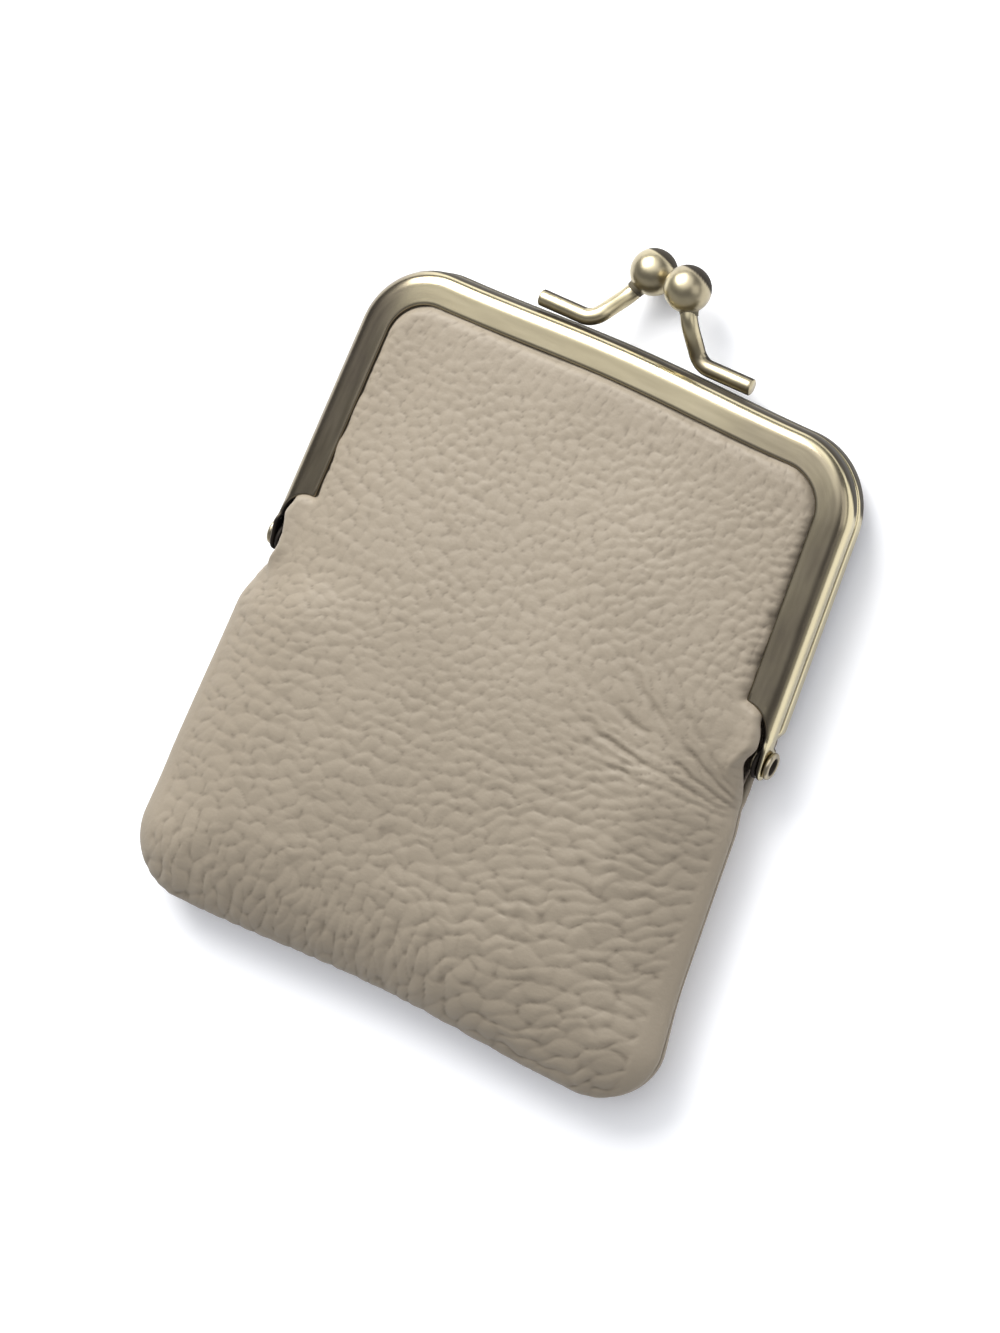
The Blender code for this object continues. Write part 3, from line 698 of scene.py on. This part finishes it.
def drape(x, y, z, front):
    """How far the panel's points move in X and Y: drawn in at the seam, where the back panel stands out past
    the front one, and hung to the left, high places from further up so that they puff over the left ear.
    Beside both ears a tab of leather is pulled to the right."""
    a = np.maximum(POUCH_CORNER - half_width(y) + np.abs(x), 0)
    b = np.maximum(POUCH_CORNER - y + bottom_line(x), 0)
    length = np.maximum(np.hypot(a, b), 1e-6)
    pouch = smooth((-EAR_CLEARANCE - y) / 7)
    out = (0 if front else BACK_SPREAD) - DRAWN_IN * hill(z, 0, 0.9)
    out = out * pouch * np.clip(length / POUCH_CORNER, 0, 1)
    high = smooth((z - 2.6) / 2)
    hung = smooth((9 * high - EAR_CLEARANCE - y) / (9 + 4 * high))
    hung = np.maximum(hung, smooth((-1.5 - y) / 7) * smooth((20 - x) / 40))
    hung = hung * (1 - 0.5 * smooth((-34 - y) / 16))
    left_tab = LEFT_TAB * hill(y, -0.4, 2.6) * smooth((-x - 33) / 6)
    right_tab = RIGHT_TAB * hill(y, 2.0, 1.7) * smooth((x - 33) / 6)
    move_x = np.sign(x) * a / length * out - HANG * hung + left_tab + right_tab
    move_y = TILT * x * smooth((-20 - y) / 30) - b / length * out
    return move_x, move_y


def waves(x, y, length, seed, count=14):
    """Slow random swell between about -1 and 1: a sum of sines in random directions."""
    draw = np.random.default_rng(seed)
    total = np.zeros_like(x)
    for _ in range(count):
        angle, phase = draw.random(2) * 2 * math.pi
        number = 2 * math.pi / (length * draw.uniform(0.7, 1.5))
        total = total + np.sin((x * math.cos(angle) + y * math.sin(angle)) * number + phase)
    return total / math.sqrt(count / 2) / 1.6


TILE = 97


def cells(x, y, seed, angle, stretch):
    """Pebbles at random centres about 1 apart: how far each point is from the nearest centre, and how much
    farther from the second and third, in ellipses turned by the angle."""
    spots = np.random.default_rng(seed).random((TILE, TILE, 2)) * 0.75
    column = np.floor(x).astype(int)
    row = np.floor(y).astype(int)
    first = np.full(x.shape, 1e9)
    second = first.copy()
    third = first.copy()
    cos, sin, root = np.cos(angle), np.sin(angle), np.sqrt(stretch)
    for i in range(-3, 4):
        for j in range(-3, 4):
            spot = spots[(column + i) % TILE, (row + j) % TILE]
            dx = column + i + spot[..., 0] - x
            dy = row + j + spot[..., 1] - y
            distance = np.hypot((dx * cos + dy * sin) / root, (dy * cos - dx * sin) * root)
            third = np.minimum(third, np.maximum(second, distance))
            second = np.minimum(second, np.maximum(first, distance))
            first = np.minimum(first, distance)
    return first, second - first, third - first


PEBBLE = 1.95
GROWTH = 0.0085
PEBBLE_DEPTH = 0.125
CREASE_DEPTH = 0.02
PIT_DEPTH = 0.06
FAN_X = 45.5
FAN_Y = -8.8
FOLDS = 38
FOLD_DEPTH = 0.42
PUCKER = 1.7
PUCKER_DEPTH = 0.3


def grain(x, y, seed):
    """Depth of the creases in millimetres, and how much painted shade darkens them.

    The pebbles grow from 1.5 mm at the top to 2.4 mm at the bottom, and more at the right: x over the pitch
    and the logarithm of the pitch are their coordinates. They are round above, drawn out across the pouch
    below, upright along the bottom edge and slanting at the upper right. Each is a bell, with a crease round
    it and pits where three meet. Folds fan out from the right hinge, and puckers stand along the side rails.
    """
    right_low = smooth((x - 0.2 * y + 4) / 34) * smooth((-2 - y) / 20)
    left_low = smooth((-y + 2) / 26) * (1 - right_low)
    right_top = smooth((x + 4) / 28) * smooth((y - 2) / 14)
    hem = smooth((-38 - y) / 10) * smooth((24 - x) / 20)
    to_x, to_y = FAN_X - x, FAN_Y - y
    away = np.hypot(to_x, to_y)
    around = np.arctan2(to_y, to_x)
    fan = smooth((36 - away) / 18) * smooth((away - 2) / 5)
    fan = fan * smooth((0.15 - around) / 0.3) * smooth((around + 0.8) / 0.25)
    fields = ((right_low * (1 - hem), 0.38, 2.6), (left_low * (1 - hem), 0.3, 1.6))
    fields += ((right_top, 0.75, 1.7), (hem, 1.5, 2.2), (fan, around, 2.6))
    tensor_x = sum(share * (stretch - 1) * np.cos(2 * angle) for share, angle, stretch in fields)
    tensor_y = sum(share * (stretch - 1) * np.sin(2 * angle) for share, angle, stretch in fields)
    angle = 0.5 * np.arctan2(tensor_y, tensor_x) + 0.25 * waves(x, y, 16.0, seed + 3)
    stretch = 1.1 + np.hypot(tensor_x, tensor_y) * (1 + 0.2 * waves(x, y, 12.0, seed + 9))
    stretch = np.clip(stretch, 1.1, 3.2)
    pitch = PEBBLE - GROWTH * y
    larger = 1 + 0.36 * right_low + 0.1 * left_low
    column = (x - 25 + 0.45 * waves(x, y, 6.0, seed + 1)) / pitch / larger
    row = (np.log(2.2 / pitch) / GROWTH + 0.2 * waves(x, y, 6.0, seed + 2)) / larger
    from_top, gap, corner = cells(column, row, seed + 4, angle, stretch)
    strong = 1.0 + 0.55 * right_low + 0.1 * left_low + 0.2 * right_top + 0.4 * hem
    strong = strong + 0.2 * waves(x, y, 17.0, seed + 7)
    fallen = 1 - hill(from_top, 0, 0.6)
    crease = (1 - np.clip(gap / 0.35, 0, 1)) ** 2
    pit = smooth(1 - corner / 0.31) * smooth(0.9 + 0.6 * waves(x, y, 4.0, seed + 8))
    creases = (PEBBLE_DEPTH * fallen + CREASE_DEPTH * crease + PIT_DEPTH * pit) * strong
    bend = 1.2 * waves(x, y, 20.0, seed + 5)
    spokes = np.cos(FOLDS * around + bend + 0.5 * waves(x, y, 5.0, seed + 6))
    broken = smooth(0.7 + 0.7 * waves(x, y, 10.0, seed + 12))
    folds = np.maximum(spokes, 0) ** 2 * fan * broken
    rail = np.exp(-np.maximum(out_of_frame(x, y), 0) / 1.6) * smooth((y - 5) / 6)
    turns = 2 * math.pi * y / PUCKER + 2.5 * waves(x, y, 9.0, seed + 10)
    puckers = np.maximum(np.sin(turns), 0) ** 2 * rail * (0.3 + 0.7 * smooth(x / 20))
    depth = creases + FOLD_DEPTH * folds + PUCKER_DEPTH * puckers
    # Painted shade: the share by which the pits, creases, folds and puckers are darkened.
    dark = np.clip(0.8 * pit + 0.16 * crease * strong + 0.5 * folds + 0.5 * puckers, 0, 1)
    return depth, dark


def panel_points(x, y, front, sink):
    """The panel's face, sunk inwards along its normals by a distance and draped."""
    z = panel_height(x, y, front)
    if not front:
        z = np.minimum(z, -FLAT)
    move_x, move_y = drape(x, y, z, front)
    points = np.stack([x + move_x, y + move_y, z], -1)
    normal = unit(np.cross(np.gradient(points, axis=1), np.gradient(points, axis=0)))
    points = points - normal * np.broadcast_to(sink, x.shape)[..., None]
    if not front:
        points[..., 2] = np.maximum(-points[..., 2], FLAT)
    return points


def border(rows, columns, first=0):
    """Indices of a grid's border, in order."""
    index = first + np.arange(rows * columns).reshape(rows, columns)
    return np.concatenate([index[0, :-1], index[:-1, -1], index[-1, :0:-1], index[:0:-1, 0]])


def shell(outer, inner, step):
    """Faces of a fine outer grid and an inner one with every step-th row and column, joined round their
    borders by fans of triangles."""
    rows, columns = outer.shape[:2]
    count = rows * columns
    few_rows, few_columns = inner.shape[:2]
    fine = border(rows, columns)
    coarse = border(few_rows, few_columns, count)
    following = np.roll(coarse, -1)
    start = np.arange(len(coarse)) * step
    half = step // 2
    fans = []
    for k in range(step):
        tip = coarse if k < half else following
        fans.append(np.stack([fine[start + k], fine[(start + k + 1) % len(fine)], tip], 1))
    fans.append(np.stack([coarse, fine[start + half], following], 1))
    return [grid_faces(rows, columns), grid_faces(few_rows, few_columns, first=count)] + fans


def add_leather(name, front, seed):
    """One panel: its grained face, its plain flesh side one leather thick behind it, and the edges between.
    The grain is calmer at the edges and beside the ears."""
    x, y = panel_plan(PANEL_ROWS, PANEL_COLUMNS)
    carve, dark = grain(x if front else -x, y, seed)
    edge = rounded(half_width(y) - np.abs(x), y - bottom_line(x), POUCH_CORNER)
    ear = np.hypot(np.abs(x) - 40, (y - 2) / 1.4)
    calm = (0.75 + 0.25 * smooth(edge / 2)) * (0.6 + 0.4 * smooth((ear - 3) / 6))
    calm = calm * smooth(out_of_frame(x, y) / 1.2 + 0.25)
    carve = carve * calm
    dark = dark * calm
    swell = 0.2 * waves(x, y, 26.0, seed + 11) * smooth((edge - 4) / 8)
    outer = panel_points(x, y, front, carve - swell)
    inner = panel_points(x[::COARSE, ::COARSE], y[::COARSE, ::COARSE], front, LEATHER)
    points = np.concatenate([outer.reshape(-1, 3), inner.reshape(-1, 3)])
    # The painted shade of the creases goes to the finish; the flesh side gets none.
    crease = np.concatenate([dark.ravel(), np.zeros(inner[..., 0].size)])
    return add_piece(name, points, shell(outer, inner, COARSE), {"crease": crease}, 0.0005)


BEIGE = ((0.274, 0.2305, 0.172, 1), (0.311, 0.263, 0.198, 1))
# Painted shade: the brown towards which the pits, creases, folds and puckers are darkened.
PAINTED_CREASE_SHADE_BROWN = (0.13, 0.105, 0.075, 1)


def cowhide(name):
    """Pebbled cowhide: mottled beige, darkened by painted shade and duller in the pits and creases, with fine
    pores.
    """
    f = Finish(name, Specular_IOR_Level=0.4)
    where = f.place()
    creases = f.attribute("crease")
    mottle = f.noise(where, 60.0, 3.0)
    pores = f.noise(where, 1500.0, 3.0)
    colour = f.mix(creases * 0.6, f.mix(mottle, *BEIGE), PAINTED_CREASE_SHADE_BROWN)
    rough = 0.5 + creases * 0.15 + pores * 0.08
    f.finish(Base_Color=colour, Roughness=rough, Normal=f.bump(pores, 0.00005))
    return f.material


hide = cowhide("pebbled_cowhide")
front_leather = add_leather("front_leather", True, 20)
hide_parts("front_leather_upper", "front_leather_fold", "front_leather_pouch")
back_leather = add_leather("back_leather_panel", False, 60)
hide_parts("back_leather")
for panel in (front_leather, back_leather):
    panel.data.materials.append(hide)
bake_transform(front_leather)
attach(back_leather, "back_half")

# The lining is plain woven cotton, cut like the leather and caught in the same seam and channels, so that it
# lies close behind the leather all over.
LINING_GAP = 0.2
LINING = 0.3
LINING_ROWS = (12, 44, 32, 8)
LINING_COLUMNS = 72


def add_lining(name, front):
    """The panel's surface again, sunk by the leather and a gap, with thickness."""
    x, y = panel_plan(LINING_ROWS, LINING_COLUMNS)
    outer = panel_points(x, y, front, LEATHER + LINING_GAP)
    inner = panel_points(x, y, front, LEATHER + LINING_GAP + LINING)
    points = np.concatenate([outer.reshape(-1, 3), inner.reshape(-1, 3)])
    values = {"weft": np.tile(x.ravel(), 2), "warp": np.tile(y.ravel(), 2)}
    return add_piece(name, points, shell(outer, inner, 1), values, 0.0005)


def woven(name, light, dark, pitch):
    """Plain weave: crossing sines of the weft and the warp, raised in turn, with slubs in the colour and
    painted shade in the weave's low places.
    """
    f = Finish(name, Specular_IOR_Level=0.2)
    turns = 2 * math.pi / pitch
    weft = f.node("Math", {0: f.attribute("weft") * turns}, operation="SINE")
    warp = f.node("Math", {0: f.attribute("warp") * turns}, operation="SINE")
    height = weft * warp * 0.5 + 0.5
    slubs = f.noise(f.place(), 700.0, 4.0)
    # Painted shade where the weave is low, mixed with the slubs' own tone.
    colour = f.mix(height * 0.5 + slubs * 0.5, dark, light)
    f.finish(Base_Color=colour, Roughness=0.85 - height * 0.1, Normal=f.bump(height, 0.00008))
    return f.material


THREADS = 0.7
cloth = woven("woven_lining", (0.37, 0.31, 0.25, 1), (0.24, 0.20, 0.16, 1), THREADS)
front_lining = add_lining("front_lining_cloth", True)
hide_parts("front_lining_upper", "front_lining_fold", "front_lining_pouch")
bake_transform(front_lining)
back_lining = add_lining("back_lining_cloth", False)
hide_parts("back_lining")
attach(back_lining, "back_half")
for panel in (front_lining, back_lining):
    panel.data.materials.append(cloth)

# A twisted paper cord is pushed into each channel behind the leather and the lining, and jams them there.
CORD = 0.4
CORD_INSET = 3.0
CORD_END = 10.0
CORD_LEVEL = HALVES_GAP / 2 + SHEET + LINING_GAP + CORD
CORD_TWIST = 2.4
CORD_RINGS = 700
PLIES = 3


def cord_line():
    """The cord's middle line: up the left channel, over the top and down the right one."""
    side = np.linspace(CORD_END, corner_y, 60)
    arc = np.linspace(FLARE, math.pi / 2, 24)[1:]
    reach = CORNER - CORD_INSET
    corner = np.stack([corner_x + reach * np.cos(arc), corner_y + reach * np.sin(arc)], 1)
    x = np.linspace(corner_x, 0, 60)[1:]
    up = np.stack([side_line(side, CORD_INSET), side], 1)
    over = np.stack([x, top_line(x, CORD_INSET)], 1)
    flat = both_sides(np.concatenate([up, corner, over]))
    return np.column_stack([flat, np.full(len(flat), CORD_LEVEL)])


def spaced(line, count):
    """The same line through evenly spaced points, and how far along it they are."""
    length = travelled_along(line)
    even = np.linspace(0, length[-1], count)
    return np.stack([np.interp(even, length, line[:, k]) for k in range(3)], 1), even


def add_twisted(name, line, radius, pitch, count):
    """A cord of twisted plies: its radius swells and shrinks round it, turning once in each pitch."""
    line, travelled = spaced(line, count)
    angle = np.linspace(0, 2 * math.pi, 13)[:-1]
    twist = 2 * math.pi * travelled / pitch
    swell = 0.86 + 0.14 * np.cos(PLIES * angle + twist[:, None])
    points = line[:, None] + rings(unit(np.gradient(line, axis=0)), 12) * radius * swell[..., None]
    # The plies' swell goes to the finish, which paints shade in the grooves between them.
    return add_piece(name, points, tube_faces(*swell.shape), {"painted_shading": swell}, 0.0005)


def fibre(name, light, dark):
    """Twisted fibre: painted shade in the grooves between the plies, and mottled."""
    f = Finish(name, Specular_IOR_Level=0.2, Roughness=0.8)
    shade = f.step(f.attribute("painted_shading"), 0.74, 0.96)
    mottle = f.noise(f.place(), 1500.0, 3.0)
    f.finish(Base_Color=f.mix(shade * 0.6 + mottle * 0.4, dark, light), Normal=f.bump(mottle, 0.00003))
    return f.material


paper = fibre("twisted_paper", (0.66, 0.57, 0.42, 1), (0.40, 0.33, 0.23, 1))
for name, sign, body in (("front_packing", 1, "front_half"), ("back_packing", -1, "back_half")):
    packing = add_twisted(name, cord_line() * (1, 1, sign), CORD, CORD_TWIST, CORD_RINGS)
    packing.data.materials.append(paper)
    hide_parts(name + "_cord")
    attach(packing, body)

# The side and bottom seam is sewn inside out with bonded thread and turned, so that the stitches lie just
# inside the leather's edges.
THREAD = 0.22
THREAD_TWIST = 1.1
THREAD_RINGS = 1400
THREAD_TOP = -11.0
THREAD_INSET = LEATHER + 1.25
STITCH = 3.0
STITCH_RISE = 0.2


def seam_line():
    """The thread's middle line: down the right side, along the bottom and up the left side, inside the
    leather's edges and hung with them."""
    y = np.linspace(THREAD_TOP, POUCH_CORNER - DROP, 80)
    arc = np.linspace(0, -math.pi / 2, 30)[1:]
    x = np.linspace(bottom_x, 0, 60)[1:]
    down = np.stack([half_width(y), y], 1)
    corner = np.stack([bottom_x + POUCH_CORNER * np.cos(arc), POUCH_CORNER * (1 + np.sin(arc)) - DROP], 1)
    outline = both_sides(np.concatenate([down, corner, np.stack([x, bottom_line(x)], 1)]))
    along = unit(np.gradient(outline, axis=0))
    x, y = (outline + np.stack([along[:, 1], -along[:, 0]], 1) * THREAD_INSET).T
    move_x = -HANG * smooth((-EAR_CLEARANCE - outline[:, 1]) / 9)
    move_y = TILT * outline[:, 0] * smooth((-20 - outline[:, 1]) / 30)
    return np.column_stack([x + move_x, y + move_y, np.zeros(len(x))])


stitches, travelled = spaced(seam_line(), THREAD_RINGS)
stitches[:, 2] = STITCH_RISE * np.sin(2 * math.pi * travelled / STITCH)
seam = add_twisted("seam_stitches", stitches, THREAD, THREAD_TWIST, THREAD_RINGS)
seam.data.materials.append(fibre("bonded_thread", (0.46, 0.39, 0.31, 1), (0.25, 0.21, 0.16, 1)))
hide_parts("seam_thread")
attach(seam, "back_half")

# Plain pale floor, soft studio light and the camera at the photograph's angle. A white screen hangs over the
# clasp's end of the purse, and the rest of the studio is dim, as the brass shows it.
SKY_STRENGTH = 1.2
SKY_BRIGHT_SIDE = (-0.15, 0.55, 0.82)
SKY_STOPS = (
    (0.1, (0.36, 0.36, 0.37, 1)),
    (0.35, (0.13, 0.13, 0.14, 1)),
    (0.7, (0.2, 0.2, 0.21, 1)),
    (0.8, (0.6, 0.61, 0.63, 1)),
    (0.88, (1.5, 1.52, 1.56, 1)),
)
FLOOR_WHITE = (0.97, 0.97, 0.97, 1)
FLOOR_GLOW = (0.9, 0.95, 1.08, 1)
FLOOR_SIZE = 1.2
floor_mesh = bpy.data.meshes.new("floor")
floor_corners = np.array([(-1, -1, 0), (1, -1, 0), (1, 1, 0), (-1, 1, 0)]) * FLOOR_SIZE
floor_mesh.from_pydata(floor_corners.tolist(), [], [(0, 1, 2, 3)])
floor = bpy.data.objects.new("floor", floor_mesh)
bpy.context.scene.collection.objects.link(floor)
floor_finish = Finish("floor_paper", Roughness=0.8)
floor_finish.finish(Base_Color=FLOOR_WHITE, Emission_Color=FLOOR_GLOW, Emission_Strength=0.13)
floor_mesh.materials.append(floor_finish.material)

world = bpy.data.worlds.new("studio")
bpy.context.scene.world = world
world.use_nodes = True
sky = world.node_tree
sky.nodes["Background"].inputs["Strength"].default_value = SKY_STRENGTH
direction = sky.nodes.new("ShaderNodeTexCoord")
turn = sky.nodes.new("ShaderNodeVectorMath")
turn.operation = "DOT_PRODUCT"
turn.inputs[1].default_value = SKY_BRIGHT_SIDE
ramp = sky.nodes.new("ShaderNodeValToRGB")
while len(ramp.color_ramp.elements) < len(SKY_STOPS):
    ramp.color_ramp.elements.new(1.0)
for element, (position, colour) in zip(ramp.color_ramp.elements, SKY_STOPS):
    element.position = position
    element.color = colour
sky.links.new(direction.outputs["Generated"], turn.inputs[0])
sky.links.new(turn.outputs["Value"], ramp.inputs[0])
sky.links.new(ramp.outputs[0], sky.nodes["Background"].inputs["Color"])


def add_softbox(name, place, size, power):
    """A square light at a place in metres, turned to the purse."""
    data = bpy.data.lights.new(name, "AREA")
    data.size = size
    data.energy = power
    light = bpy.data.objects.new(name, data)
    light.location = place
    light.rotation_euler = (-Vector(place)).to_track_quat("-Z", "Y").to_euler()
    bpy.context.scene.collection.objects.link(light)


add_softbox("key", (-0.21, 0.28, 0.29), 0.32, 2.55)
add_softbox("fill", (0.45, 0.2, 0.3), 0.35, 0.45)

VIEW_YAW = math.radians(20.72)
VIEW_PITCH = math.radians(10.0)
VIEW_ROLL = math.radians(21.83)
VIEW_DISTANCE = 615.9
VIEW_AIM = (0.0, 25.0, 0.0)
VIEW_OFFSET = (11.7, 25.9)
PHOTO_HEIGHT = 1333
PHOTO_FOCAL = 4229.9
SENSOR = 36.0
toward = np.array(
    [
        math.sin(VIEW_YAW) * math.cos(VIEW_PITCH),
        math.sin(VIEW_PITCH),
        math.cos(VIEW_YAW) * math.cos(VIEW_PITCH),
    ]
)
level = unit(np.cross((0, 1, 0), toward))
upright = np.cross(toward, level)
right = math.cos(VIEW_ROLL) * level + math.sin(VIEW_ROLL) * upright
up = -math.sin(VIEW_ROLL) * level + math.cos(VIEW_ROLL) * upright
eye = VIEW_AIM - VIEW_OFFSET[0] * right - VIEW_OFFSET[1] * up + VIEW_DISTANCE * toward
eye = eye * MM + hinge
camera_data = bpy.data.cameras.new("camera")
camera_data.sensor_width = SENSOR
camera_data.lens = SENSOR * PHOTO_FOCAL / PHOTO_HEIGHT
camera_data.clip_start = 0.05
camera = bpy.data.objects.new("camera", camera_data)
camera.matrix_world = Matrix([*np.stack([right, up, toward, eye], 1).tolist(), (0, 0, 0, 1)])
bpy.context.scene.collection.objects.link(camera)
bpy.context.scene.camera = camera
bpy.context.scene.view_settings.view_transform = "Standard"

bpy.context.view_layer.update()
